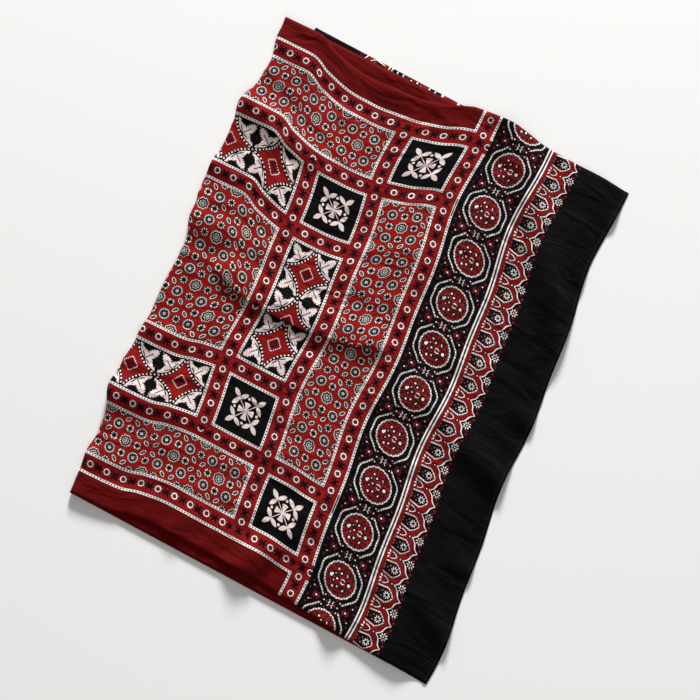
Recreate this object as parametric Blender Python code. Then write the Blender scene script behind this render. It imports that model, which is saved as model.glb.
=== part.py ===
"""Ajrakh cloth: one hemmed length of block-printed cotton, folded in three and laid down.

Metres, +Z up. The origin is on the surface below the middle of the folded cloth. Y runs
across the width of the cloth, from selvedge to selvedge, and X along its length, with
the upper end hem at +X. The cloth goes from that hem to a soft fold at -X, back to a fold
at +X under the top layer, and ends in a hidden hem on the surface.
"""

import math

import bmesh
import bpy

# The cloth laid out flat
CLOTH_LENGTH = 2.4742
CLOTH_WIDTH = 1.2145
THICKNESS = 0.0015

# Where the hem and the two folds lie, and how far the cloth is moved along Y to centre it
HEM_X = 0.4488
LEFT_FOLD_X = -0.4452
RIGHT_FOLD_X = 0.3608
SELVEDGE_OFFSET = -0.0178

# Heights of the middle of the sheet above the surface
FLOOR_LEVEL = THICKNESS / 2
LAYER_RISE = 0.0040
LEFT_FOLD_HEIGHT = 0.0130
RIGHT_FOLD_RADIUS = 0.0045

# Lengths over which the layers rise and come down
LEFT_PLUMP_RUN = 0.130
RIGHT_PLUMP_RUN = 0.100
UNDER_LAYER_RUN = 0.045
FOLD_CLEARANCE = 0.010
HEM_DROP_RUN = 0.070

# How far the layers lie askew, in metres of shift along Y for each metre of run
TOP_LAYER_SKEW = 0.045
SECOND_LAYER_SKEW = -0.034
THIRD_LAYER_SKEW = 0.052

# The tucked pleat that runs from the left fold towards the hem and closes before both
PLEAT_V = 0.590
PLEAT_START_X = -0.400
PLEAT_END_X = 0.140
PLEAT_FULL_X = -0.200
PLEAT_BEND = 0.0090
PLEAT_OPEN_TUCK = 0.0040
PLEAT_FULL_TUCK = 0.0220
PLEAT_LOW_SHARE = 0.30
PLEAT_TURN_BY = 0.45
PLEAT_TUCK_FROM = 0.15
PLEAT_HOLD = 0.010
PLEAT_SETTLE = 0.085

# Sway of the hem, the fold lines and the selvedges. Columns: height, length of a wave, phase
HEM_LINE_WAVES = ((0.0300, 2.60, 3.3), (0.0070, 0.62, 0.6), (0.0030, 0.27, 2.1))
LEFT_LINE_WAVES = ((0.0260, 2.60, 3.3), (0.0080, 0.52, 1.9), (0.0040, 0.23, 0.4))
RIGHT_LINE_WAVES = ((0.0280, 2.60, 3.3), (0.0030, 0.45, 1.3))
SELVEDGE_WAVES = ((0.0090, 0.95, 1.1), (0.0035, 0.37, 0.3))

# Soft folds raised on the top layer.
# Columns: start X, start Y, end X, end Y, half width, height at the start, at the end
SOFT_FOLDS = (
    (-0.470, -0.500, -0.230, -0.470, 0.044, 0.0100, 0.0000),
    (-0.470, -0.350, -0.100, -0.290, 0.055, 0.0190, 0.0000),
    (-0.470, -0.200, -0.260, -0.150, 0.042, 0.0090, 0.0000),
    (-0.470, 0.085, -0.150, 0.095, 0.048, 0.0140, 0.0000),
    (-0.470, 0.230, -0.270, 0.200, 0.040, 0.0080, 0.0000),
    (-0.470, 0.390, -0.080, 0.290, 0.058, 0.0200, 0.0000),
    (-0.470, 0.560, -0.240, 0.510, 0.042, 0.0090, 0.0000),
    (0.080, 0.660, 0.480, 0.120, 0.060, 0.0260, 0.0150),
    (0.130, -0.020, 0.480, -0.170, 0.055, 0.0060, 0.0170),
    (-0.040, -0.650, 0.180, -0.230, 0.055, 0.0190, 0.0000),
    (-0.190, -0.650, -0.130, -0.430, 0.042, 0.0100, 0.0000),
    (0.230, -0.650, 0.260, -0.450, 0.045, 0.0140, 0.0000),
    (-0.210, 0.660, -0.050, 0.330, 0.054, 0.0160, 0.0000),
    (-0.020, 0.660, 0.010, 0.480, 0.040, 0.0080, 0.0000),
    (0.480, -0.520, 0.300, -0.420, 0.046, 0.0140, 0.0000),
    (0.480, -0.370, 0.360, -0.350, 0.038, 0.0080, 0.0000),
    (0.480, -0.010, 0.330, 0.030, 0.042, 0.0110, 0.0000),
    (0.480, 0.330, 0.340, 0.370, 0.044, 0.0120, 0.0000),
    (0.480, 0.500, 0.330, 0.530, 0.046, 0.0130, 0.0000),
    (-0.120, -0.150, 0.100, -0.420, 0.130, 0.0050, 0.0050),
    (-0.020, 0.150, 0.180, 0.380, 0.130, 0.0060, 0.0050),
)

# Faces along the length in each layer and bend, and across the width around the pleat
TOP_STEPS = 28
SECOND_STEPS = 12
THIRD_STEPS = 7
BEND_STEPS = 6
LOW_SIDE_STEPS = 16
HIGH_SIDE_STEPS = 18
PLEAT_BEND_STEPS = 4
PLEAT_TUCK_STEPS = 2

CLOTH_RED = (0.24, 0.018, 0.020, 1.0)
CLOTH_ROUGHNESS = 0.88


def clear_scene():
    """Remove what the scene holds at the start."""
    for thing in list(bpy.data.objects):
        bpy.data.objects.remove(thing, do_unlink=True)


def ease(share):
    """Go from 0 to 1 with level ends."""
    share = min(max(share, 0.0), 1.0)
    return share * share * (3.0 - 2.0 * share)


def bell(share):
    """A rounded crest, 1 at the middle and 0 from one half width out."""
    if abs(share) >= 1.0:
        return 0.0
    return 0.5 + 0.5 * math.cos(math.pi * share)


def wavy_line(place, waves, y):
    """The X of a hem or fold line that sways along Y."""
    return place + sum(
        height * math.sin(2.0 * math.pi * y / length + phase)
        for height, length, phase in waves
    )


def selvedge_shift(x):
    """How far the top layer lies along Y from its place on the cloth, at one X."""
    return wavy_line(SELVEDGE_OFFSET, SELVEDGE_WAVES, x) + TOP_LAYER_SKEW * (HEM_X - x)


def soft_fold_height(x, y):
    """How far the soft folds raise the top layer at a place."""
    total = 0.0
    for start_x, start_y, end_x, end_y, half_width, start_height, end_height in SOFT_FOLDS:
        run_x = end_x - start_x
        run_y = end_y - start_y
        length = math.hypot(run_x, run_y)
        along = ((x - start_x) * run_x + (y - start_y) * run_y) / length**2
        aside = ((x - start_x) * run_y - (y - start_y) * run_x) / length
        share = min(max(along, 0.0), 1.0)
        height = start_height + (end_height - start_height) * ease(share)
        if end_height > 0.0:
            height *= ease((1.5 - along) / 0.5) * ease((along + 0.5) / 0.5)
        total += height * bell(aside / half_width)
    return total


def second_layer_height(x, left_x, right_x, third_end_x):
    """The second layer: on the surface at its left fold, then over the third, up to its right fold."""
    over_third = ease((x - (third_end_x - FOLD_CLEARANCE - UNDER_LAYER_RUN)) / UNDER_LAYER_RUN)
    plump = ease((x - right_x + RIGHT_PLUMP_RUN) / RIGHT_PLUMP_RUN)
    height = FLOOR_LEVEL + LAYER_RISE * over_third
    return height + (2.0 * RIGHT_FOLD_RADIUS - LAYER_RISE) * plump


def top_layer_height(x, y, left_x, right_x):
    """The top layer: plump at its left fold, over the fold below, and down to the surface."""
    stack = 2.0 * LAYER_RISE
    stack += (LEFT_FOLD_HEIGHT - stack) * (1.0 - ease((x - left_x) / LEFT_PLUMP_RUN))
    right_plump = ease((x - right_x + RIGHT_PLUMP_RUN) / RIGHT_PLUMP_RUN)
    stack += (2.0 * RIGHT_FOLD_RADIUS - LAYER_RISE) * right_plump
    past_fold = x - right_x - FOLD_CLEARANCE
    stack *= 1.0 - ease(past_fold / HEM_DROP_RUN)
    return FLOOR_LEVEL + stack + soft_fold_height(x, y)


def pleat_closed(x):
    """How far the pleat is tucked in at a place along X, from 0 where it is open to 1."""
    if x < PLEAT_FULL_X:
        return ease((x - PLEAT_START_X) / (PLEAT_FULL_X - PLEAT_START_X))
    return ease((PLEAT_END_X - x) / (PLEAT_END_X - PLEAT_FULL_X))


def width_section(closed):
    """One line across the cloth, as rows of place on the cloth, Y and rise over the layer.

    The pleat turns up and back over one bend, runs back by its tuck, and turns forward
    again over a second bend, so the far side of the cloth lies on the near side.
    """
    turn = math.pi * ease(closed / PLEAT_TURN_BY)
    tuck = ease((closed - PLEAT_TUCK_FROM) / (1.0 - PLEAT_TUCK_FROM))
    tuck = PLEAT_OPEN_TUCK + (PLEAT_FULL_TUCK - PLEAT_OPEN_TUCK) * tuck
    zone = 2.0 * PLEAT_BEND + tuck
    if turn > 0.0:
        radius = PLEAT_BEND / turn
        advance = 2.0 * radius * math.sin(turn) + tuck * math.cos(turn)
        rise = 2.0 * radius * (1.0 - math.cos(turn)) + tuck * math.sin(turn)
    else:
        radius = 0.0
        advance = zone
        rise = 0.0
    hidden = zone - advance
    zone_v = PLEAT_V - zone / 2.0
    zone_y = zone_v - CLOTH_WIDTH / 2.0 + hidden * PLEAT_LOW_SHARE

    rows = []
    for step in range(LOW_SIDE_STEPS):
        v = zone_v * step / LOW_SIDE_STEPS
        rows.append((v, v - zone_v + zone_y, 0.0))

    for step in range(PLEAT_BEND_STEPS):
        part = step / PLEAT_BEND_STEPS
        if turn > 0.0:
            y = zone_y + radius * math.sin(turn * part)
            z = radius * (1.0 - math.cos(turn * part))
        else:
            y = zone_y + PLEAT_BEND * part
            z = 0.0
        rows.append((zone_v + PLEAT_BEND * part, y, z))

    if turn > 0.0:
        tuck_y = zone_y + radius * math.sin(turn)
        tuck_z = radius * (1.0 - math.cos(turn))
    else:
        tuck_y = zone_y + PLEAT_BEND
        tuck_z = 0.0
    for step in range(PLEAT_TUCK_STEPS):
        run = tuck * step / PLEAT_TUCK_STEPS
        v = zone_v + PLEAT_BEND + run
        rows.append((v, tuck_y + run * math.cos(turn), tuck_z + run * math.sin(turn)))

    back_y = tuck_y + tuck * math.cos(turn)
    back_z = tuck_z + tuck * math.sin(turn)
    for step in range(PLEAT_BEND_STEPS):
        part = step / PLEAT_BEND_STEPS
        if turn > 0.0:
            angle = turn * (1.0 - part)
            y = back_y + radius * (math.sin(turn) - math.sin(angle))
            z = back_z + radius * (math.cos(angle) - math.cos(turn))
        else:
            y = back_y + PLEAT_BEND * part
            z = 0.0
        rows.append((zone_v + PLEAT_BEND + tuck + PLEAT_BEND * part, y, z))

    end_v = zone_v + zone
    for step in range(HIGH_SIDE_STEPS + 1):
        v = end_v + (CLOTH_WIDTH - end_v) * step / HIGH_SIDE_STEPS
        y = zone_y + advance + v - end_v
        z = rise * (1.0 - ease((y - zone_y - PLEAT_HOLD) / PLEAT_SETTLE))
        rows.append((v, y, z))
    return rows


def cloth_grid():
    """Rows of points along the length of the cloth, each across its whole width."""
    grid = []

    for step in range(TOP_STEPS + 1):
        share = step / TOP_STEPS
        nominal_x = HEM_X + (LEFT_FOLD_X - HEM_X) * share
        row = []
        shift = selvedge_shift(nominal_x)
        for v, y, lift in width_section(pleat_closed(nominal_x)):
            y += shift
            hem_x = wavy_line(HEM_X, HEM_LINE_WAVES, y)
            left_x = wavy_line(LEFT_FOLD_X, LEFT_LINE_WAVES, y)
            right_x = wavy_line(RIGHT_FOLD_X, RIGHT_LINE_WAVES, y)
            x = hem_x + (left_x - hem_x) * share
            row.append((x, y, top_layer_height(x, y, left_x, right_x) + lift))
        grid.append(row)

    fold_shift = selvedge_shift(LEFT_FOLD_X)
    flat_section = [(v, y + fold_shift, lift) for v, y, lift in width_section(0.0)]
    lines = [fold_places(y) for _, y, _ in flat_section]

    for step in range(1, BEND_STEPS):
        angle = math.pi * step / BEND_STEPS
        row = []
        for (_, y, _), place in zip(flat_section, lines, strict=True):
            x = place["left_x"] - place["left_radius"] * math.sin(angle)
            z = FLOOR_LEVEL + place["left_radius"] * (1.0 + math.cos(angle))
            row.append((x, y, z))
        grid.append(row)

    for step in range(SECOND_STEPS + 1):
        share = 0.5 - 0.5 * math.cos(math.pi * step / SECOND_STEPS)
        row = []
        for (_, y, _), place in zip(flat_section, lines, strict=True):
            run = (place["right_x"] - place["left_x"]) * share
            x = place["left_x"] + run
            z = second_layer_height(x, place["left_x"], place["right_x"], place["end_x"])
            row.append((x, y + SECOND_LAYER_SKEW * run, z))
        grid.append(row)

    for step in range(1, BEND_STEPS):
        angle = math.pi * step / BEND_STEPS
        row = []
        for (_, y, _), place in zip(flat_section, lines, strict=True):
            x = place["right_x"] + RIGHT_FOLD_RADIUS * math.sin(angle)
            z = FLOOR_LEVEL + RIGHT_FOLD_RADIUS * (1.0 + math.cos(angle))
            row.append((x, y + place["right_shift"], z))
        grid.append(row)

    for step in range(THIRD_STEPS + 1):
        share = step / THIRD_STEPS
        row = []
        for (_, y, _), place in zip(flat_section, lines, strict=True):
            run = (place["right_x"] - place["end_x"]) * share
            shift = place["right_shift"] + THIRD_LAYER_SKEW * run
            row.append((place["right_x"] - run, y + shift, FLOOR_LEVEL))
        grid.append(row)
    return grid


def fold_places(y):
    """Where the folds and the hidden hem lie at one Y, so that the whole length of cloth is used."""
    hem_x = wavy_line(HEM_X, HEM_LINE_WAVES, y)
    left_x = wavy_line(LEFT_FOLD_X, LEFT_LINE_WAVES, y)
    right_x = wavy_line(RIGHT_FOLD_X, RIGHT_LINE_WAVES, y)
    left_radius = (top_layer_height(left_x, y, left_x, right_x) - FLOOR_LEVEL) / 2.0
    used = (hem_x - left_x) + math.pi * left_radius
    used += (right_x - left_x) + math.pi * RIGHT_FOLD_RADIUS
    return {
        "left_x": left_x,
        "right_x": right_x,
        "left_radius": left_radius,
        "end_x": right_x - (CLOTH_LENGTH - used),
        "right_shift": SECOND_LAYER_SKEW * (right_x - left_x),
    }


def cotton_material():
    """Dyed cotton: mostly madder red, and dull."""
    material = bpy.data.materials.new("dyed_cotton")
    material.use_nodes = True
    shader = material.node_tree.nodes["Principled BSDF"]
    shader.inputs["Base Color"].default_value = CLOTH_RED
    shader.inputs["Roughness"].default_value = CLOTH_ROUGHNESS
    shader.inputs["Metallic"].default_value = 0.0
    return material


def ajrakh_cloth():
    """The whole cloth, as one sheet of even thickness on the folded grid."""
    grid = cloth_grid()
    across = len(grid[0])
    shape = bmesh.new()
    bmesh.ops.create_grid(shape, x_segments=len(grid) - 1, y_segments=across - 1, size=1.0)
    shape.verts.ensure_lookup_table()
    ordered = sorted(shape.verts, key=lambda point: (round(point.co.x, 6), round(point.co.y, 6)))
    for number, point in enumerate(ordered):
        point.co = grid[number // across][number % across]
    bmesh.ops.recalc_face_normals(shape, faces=shape.faces)
    for face in shape.faces:
        face.smooth = True
    mesh = bpy.data.meshes.new("ajrakh_cloth")
    shape.to_mesh(mesh)
    shape.free()
    cloth = bpy.data.objects.new("ajrakh_cloth", mesh)
    bpy.context.scene.collection.objects.link(cloth)
    mesh.materials.append(cotton_material())
    sheet = cloth.modifiers.new("thickness", "SOLIDIFY")
    sheet.thickness = THICKNESS
    sheet.offset = 0.0
    sheet.use_rim = True
    return cloth


clear_scene()
ajrakh_cloth()
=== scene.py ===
"""The look of the ajrakh cloth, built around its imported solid. Metres, +Z up."""

import math

import bmesh
import bpy
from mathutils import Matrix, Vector


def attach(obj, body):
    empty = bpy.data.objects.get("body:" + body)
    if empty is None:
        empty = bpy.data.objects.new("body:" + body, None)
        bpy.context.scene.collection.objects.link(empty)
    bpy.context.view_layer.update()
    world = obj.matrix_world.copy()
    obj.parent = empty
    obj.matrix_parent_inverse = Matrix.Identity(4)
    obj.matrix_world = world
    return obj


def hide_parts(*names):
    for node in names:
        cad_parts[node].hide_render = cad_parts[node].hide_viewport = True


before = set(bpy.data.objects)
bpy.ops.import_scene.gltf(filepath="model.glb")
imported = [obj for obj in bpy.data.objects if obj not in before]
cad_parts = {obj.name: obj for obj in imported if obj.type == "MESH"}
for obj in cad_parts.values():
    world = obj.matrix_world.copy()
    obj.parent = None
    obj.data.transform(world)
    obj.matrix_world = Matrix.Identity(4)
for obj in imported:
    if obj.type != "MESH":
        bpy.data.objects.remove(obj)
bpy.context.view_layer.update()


# The view: a camera above the cloth, turned so that the print's bands run from the upper
# right to the lower left and the end hem lies at the right, as in the photo.
MILLIMETRES = 1000.0
VIEW_AZIMUTH = math.radians(26.0)
VIEW_ELEVATION = math.radians(80.0)
VIEW_DISTANCE = 4.2
VIEW_LENS = 0.095
SENSOR_WIDTH = 0.036
VIEW_TARGET = Vector((0.003, -0.029, 0.01))

camera_data = bpy.data.cameras.new("camera")
camera_data.lens = VIEW_LENS * MILLIMETRES
camera_data.sensor_width = SENSOR_WIDTH * MILLIMETRES
camera = bpy.data.objects.new("camera", camera_data)
bpy.context.scene.collection.objects.link(camera)
back = Vector((
    math.sin(VIEW_AZIMUTH) * math.cos(VIEW_ELEVATION),
    -math.cos(VIEW_AZIMUTH) * math.cos(VIEW_ELEVATION),
    math.sin(VIEW_ELEVATION),
))
camera.location = VIEW_TARGET + back * VIEW_DISTANCE
camera.rotation_euler = (-back).to_track_quat("-Z", "Y").to_euler()
bpy.context.scene.camera = camera
bpy.context.scene.view_settings.view_transform = "Standard"


# The studio: one soft light low behind the top of the view, so that it rakes across the folds,
# a weaker one from below, and an even pale surrounding that keeps the shadows open.
LIGHTS = (
    # name, X, Y, Z, size, watts
    ("key_light", -3.90, 11.50, 4.45, 3.4, 3050.0),
    ("fill_light", 1.6, -2.2, 4.2, 3.0, 40.0),
)
SURROUNDING_LIGHT = 0.21

for name, x, y, z, size, watts in LIGHTS:
    light_data = bpy.data.lights.new(name, "AREA")
    light_data.shape = "DISK"
    light_data.size = size
    light_data.energy = watts
    light = bpy.data.objects.new(name, light_data)
    light.location = (x, y, z)
    light.rotation_euler = (VIEW_TARGET - light.location).to_track_quat("-Z", "Y").to_euler()
    bpy.context.scene.collection.objects.link(light)

world = bpy.data.worlds.new("studio")
world.use_nodes = True
world.node_tree.nodes["Background"].inputs["Color"].default_value = (1.0, 1.0, 1.0, 1.0)
world.node_tree.nodes["Background"].inputs["Strength"].default_value = SURROUNDING_LIGHT
bpy.context.scene.world = world


# The floor: a plain pale sheet under the cloth, a little rough, that takes its shadow.
FLOOR_SIZE = 8.0
FLOOR_GAP = 0.0002
FLOOR_WHITE = "F4F3F1"
FLOOR_ROUGHNESS = 0.8


def linear(colour):
    """Turn an sRGB hex colour into linear red, green, blue and alpha."""
    shares = [int(colour[start : start + 2], 16) / 255.0 for start in (0, 2, 4)]
    shares = [s / 12.92 if s < 0.04045 else ((s + 0.055) / 1.055) ** 2.4 for s in shares]
    return (*shares, 1.0)


floor_shape = bmesh.new()
bmesh.ops.create_grid(floor_shape, x_segments=4, y_segments=4, size=FLOOR_SIZE / 2.0)
bmesh.ops.translate(floor_shape, vec=(0.0, 0.0, -FLOOR_GAP), verts=floor_shape.verts)
floor_mesh = bpy.data.meshes.new("floor")
floor_shape.to_mesh(floor_mesh)
floor_shape.free()
floor = bpy.data.objects.new("floor", floor_mesh)
bpy.context.scene.collection.objects.link(floor)

floor_material = bpy.data.materials.new("matt_white_board")
floor_material.use_nodes = True
floor_tree = floor_material.node_tree
floor_shader = floor_tree.nodes["Principled BSDF"]
floor_shader.inputs["Base Color"].default_value = linear(FLOOR_WHITE)
floor_shader.inputs["Roughness"].default_value = FLOOR_ROUGHNESS
floor_mesh.materials.append(floor_material)


# The cloth: one length of plain-weave cotton, folded in three along its length and laid
# down, top layer up. It is woven in one width, hemmed by hand at its two ends, and the
# hidden layers are the same sheet, which turns under at soft folds at the left and right.
CLOTH_LENGTH = 2.4742
CLOTH_WIDTH = 1.2145
THICKNESS = 0.0015
HEM_X = 0.4488
LEFT_FOLD_X = -0.4452
RIGHT_FOLD_X = 0.3608
SELVEDGE_OFFSET = -0.0178
FLOOR_LEVEL = THICKNESS / 2
HEM_WIDTH = 0.0080
HEM_EDGE = 0.0010
HEM_THICKNESS = 0.0024
LAYER_RISE = 0.0040
LEFT_FOLD_HEIGHT = 0.0130
RIGHT_FOLD_RADIUS = 0.0045
LEFT_PLUMP_RUN = 0.130
RIGHT_PLUMP_RUN = 0.100
UNDER_LAYER_RUN = 0.045
FOLD_CLEARANCE = 0.010
HEM_DROP_RUN = 0.070
TOP_LAYER_SKEW = 0.045
SECOND_LAYER_SKEW = -0.034
THIRD_LAYER_SKEW = 0.052
PLEAT_V = 0.590
PLEAT_START_X = -0.400
PLEAT_END_X = 0.140
PLEAT_FULL_X = -0.200
PLEAT_BEND = 0.0090
PLEAT_OPEN_TUCK = 0.0040
PLEAT_FULL_TUCK = 0.0220
PLEAT_LOW_SHARE = 0.30
PLEAT_TURN_BY = 0.45
PLEAT_TUCK_FROM = 0.15
PLEAT_HOLD = 0.010
PLEAT_SETTLE = 0.085

# Sway of the hem, the fold lines and the selvedges. Columns: height, length of a wave, phase
HEM_LINE_WAVES = ((0.0300, 2.60, 3.3), (0.0070, 0.62, 0.6), (0.0030, 0.27, 2.1))
LEFT_LINE_WAVES = ((0.0260, 2.60, 3.3), (0.0080, 0.52, 1.9), (0.0040, 0.23, 0.4))
RIGHT_LINE_WAVES = ((0.0280, 2.60, 3.3), (0.0030, 0.45, 1.3))
SELVEDGE_WAVES = ((0.0090, 0.95, 1.1), (0.0035, 0.37, 0.3))

# Soft folds raised on the top layer, as in the solid, then finer creases. Those that keep
# some height at their end fade out past both ends, over this share of their length.
FOLD_FADE = 0.5
# Columns: start X, start Y, end X, end Y, half width, height at the start, at the end
SOFT_FOLDS = (
    (-0.470, -0.500, -0.230, -0.470, 0.044, 0.0100, 0.0),
    (-0.470, -0.350, -0.100, -0.290, 0.055, 0.0190, 0.0),
    (-0.470, -0.200, -0.260, -0.150, 0.042, 0.0090, 0.0),
    (-0.470, 0.085, -0.150, 0.095, 0.048, 0.0140, 0.0),
    (-0.470, 0.230, -0.270, 0.200, 0.040, 0.0080, 0.0),
    (-0.470, 0.390, -0.080, 0.290, 0.058, 0.0200, 0.0),
    (-0.470, 0.560, -0.240, 0.510, 0.042, 0.0090, 0.0),
    (0.080, 0.660, 0.480, 0.120, 0.060, 0.0260, 0.0150),
    (0.130, -0.020, 0.480, -0.170, 0.055, 0.0060, 0.0170),
    (-0.040, -0.650, 0.180, -0.230, 0.055, 0.0190, 0.0),
    (-0.190, -0.650, -0.130, -0.430, 0.042, 0.0100, 0.0),
    (0.230, -0.650, 0.260, -0.450, 0.045, 0.0140, 0.0),
    (-0.210, 0.660, -0.050, 0.330, 0.054, 0.0160, 0.0),
    (-0.020, 0.660, 0.010, 0.480, 0.040, 0.0080, 0.0),
    (0.480, -0.520, 0.300, -0.420, 0.046, 0.0140, 0.0),
    (0.480, -0.370, 0.360, -0.350, 0.038, 0.0080, 0.0),
    (0.480, -0.010, 0.330, 0.030, 0.042, 0.0110, 0.0),
    (0.480, 0.330, 0.340, 0.370, 0.044, 0.0120, 0.0),
    (0.480, 0.500, 0.330, 0.530, 0.046, 0.0130, 0.0),
    (-0.120, -0.150, 0.100, -0.420, 0.130, 0.0050, 0.0050),
    (-0.020, 0.150, 0.180, 0.380, 0.130, 0.0060, 0.0050),
)
FINE_CREASES = (
    (-0.430, -0.430, -0.180, -0.380, 0.014, 0.0030, 0.0),
    (-0.430, -0.270, -0.200, -0.235, 0.013, 0.0028, 0.0),
    (-0.440, 0.010, -0.180, 0.030, 0.014, 0.0034, 0.0),
    (-0.440, 0.150, -0.220, 0.165, 0.012, 0.0026, 0.0),
    (-0.430, 0.320, -0.160, 0.250, 0.013, 0.0030, 0.0),
    (-0.430, 0.470, -0.200, 0.420, 0.014, 0.0028, 0.0),
    (0.020, -0.600, 0.120, -0.400, 0.013, 0.0028, 0.0),
    (-0.110, -0.610, -0.060, -0.440, 0.012, 0.0024, 0.0),
    (0.130, -0.330, 0.300, -0.160, 0.014, 0.0020, 0.0020),
    (0.200, 0.560, 0.380, 0.330, 0.015, 0.0034, 0.0022),
    (0.020, 0.600, 0.120, 0.400, 0.013, 0.0028, 0.0),
    (-0.140, 0.590, -0.090, 0.420, 0.012, 0.0026, 0.0),
    (0.440, 0.060, 0.280, 0.150, 0.013, 0.0026, 0.0),
    (0.440, -0.110, 0.270, -0.070, 0.012, 0.0024, 0.0),
    (0.440, -0.290, 0.300, -0.300, 0.013, 0.0026, 0.0),
    (0.440, -0.450, 0.320, -0.400, 0.012, 0.0022, 0.0),
    (-0.050, 0.110, 0.160, 0.020, 0.016, 0.0016, 0.0016),
    (-0.060, -0.100, 0.090, -0.260, 0.016, 0.0018, 0.0014),
)

# A second map of the print, for a picture of it, gives this share of its length to the top layer
TOP_LAYER_RUN = 0.95
TOP_LAYER_SHARE = 0.62

# Faces along the length in each layer and bend, and across the width around the pleat. Next
# to a hem the even ones start this many of its widths in.
TOP_STEPS = 116
SECOND_STEPS = 40
THIRD_STEPS = 22
BEND_STEPS = 10
LOW_SIDE_STEPS = 66
HIGH_SIDE_STEPS = 74
PLEAT_BEND_STEPS = 7
PLEAT_TUCK_STEPS = 3
HEM_CLEARANCE = 1.2


def ease(share):
    """Go from 0 to 1 with level ends."""
    share = min(max(share, 0.0), 1.0)
    return share * share * (3.0 - 2.0 * share)


def bell(share):
    """A rounded crest, 1 at the middle and 0 from one half width out."""
    if abs(share) >= 1.0:
        return 0.0
    return 0.5 + 0.5 * math.cos(math.pi * share)


def wavy_line(place, waves, y):
    """The X of a hem or fold line that sways along Y."""
    return place + sum(
        height * math.sin(2.0 * math.pi * y / length + phase)
        for height, length, phase in waves
    )


def selvedge_shift(x):
    """How far the top layer lies along Y from its place on the cloth, at one X."""
    return wavy_line(SELVEDGE_OFFSET, SELVEDGE_WAVES, x) + TOP_LAYER_SKEW * (HEM_X - x)


def soft_fold_height(x, y):
    """How far the soft folds and creases raise the top layer at a place."""
    total = 0.0
    for start_x, start_y, end_x, end_y, half_width, start_height, end_height in (
        SOFT_FOLDS + FINE_CREASES
    ):
        run_x = end_x - start_x
        run_y = end_y - start_y
        length = math.hypot(run_x, run_y)
        along = ((x - start_x) * run_x + (y - start_y) * run_y) / length**2
        aside = ((x - start_x) * run_y - (y - start_y) * run_x) / length
        if abs(aside) >= half_width:
            continue
        share = min(max(along, 0.0), 1.0)
        height = start_height + (end_height - start_height) * ease(share)
        if end_height > 0.0:
            height *= ease((1.0 + FOLD_FADE - along) / FOLD_FADE)
            height *= ease((along + FOLD_FADE) / FOLD_FADE)
        total += height * bell(aside / half_width)
    return total


def second_layer_height(x, right_x, third_end_x):
    """The second layer: on the surface at its left fold, then over the third and up to its fold."""
    over_third = ease((x - (third_end_x - FOLD_CLEARANCE - UNDER_LAYER_RUN)) / UNDER_LAYER_RUN)
    plump = ease((x - right_x + RIGHT_PLUMP_RUN) / RIGHT_PLUMP_RUN)
    height = FLOOR_LEVEL + LAYER_RISE * over_third
    return height + (2.0 * RIGHT_FOLD_RADIUS - LAYER_RISE) * plump


def top_layer_height(x, y, left_x, right_x):
    """The top layer: plump at its left fold, over the fold below, and down to the surface."""
    stack = 2.0 * LAYER_RISE
    stack += (LEFT_FOLD_HEIGHT - stack) * (1.0 - ease((x - left_x) / LEFT_PLUMP_RUN))
    right_plump = ease((x - right_x + RIGHT_PLUMP_RUN) / RIGHT_PLUMP_RUN)
    stack += (2.0 * RIGHT_FOLD_RADIUS - LAYER_RISE) * right_plump
    past_fold = x - right_x - FOLD_CLEARANCE
    stack *= 1.0 - ease(past_fold / HEM_DROP_RUN)
    return FLOOR_LEVEL + stack + soft_fold_height(x, y)


def pleat_closed(x):
    """How far the pleat is tucked in at a place along X, from 0 where it is open to 1."""
    if x < PLEAT_FULL_X:
        return ease((x - PLEAT_START_X) / (PLEAT_FULL_X - PLEAT_START_X))
    return ease((PLEAT_END_X - x) / (PLEAT_END_X - PLEAT_FULL_X))


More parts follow.
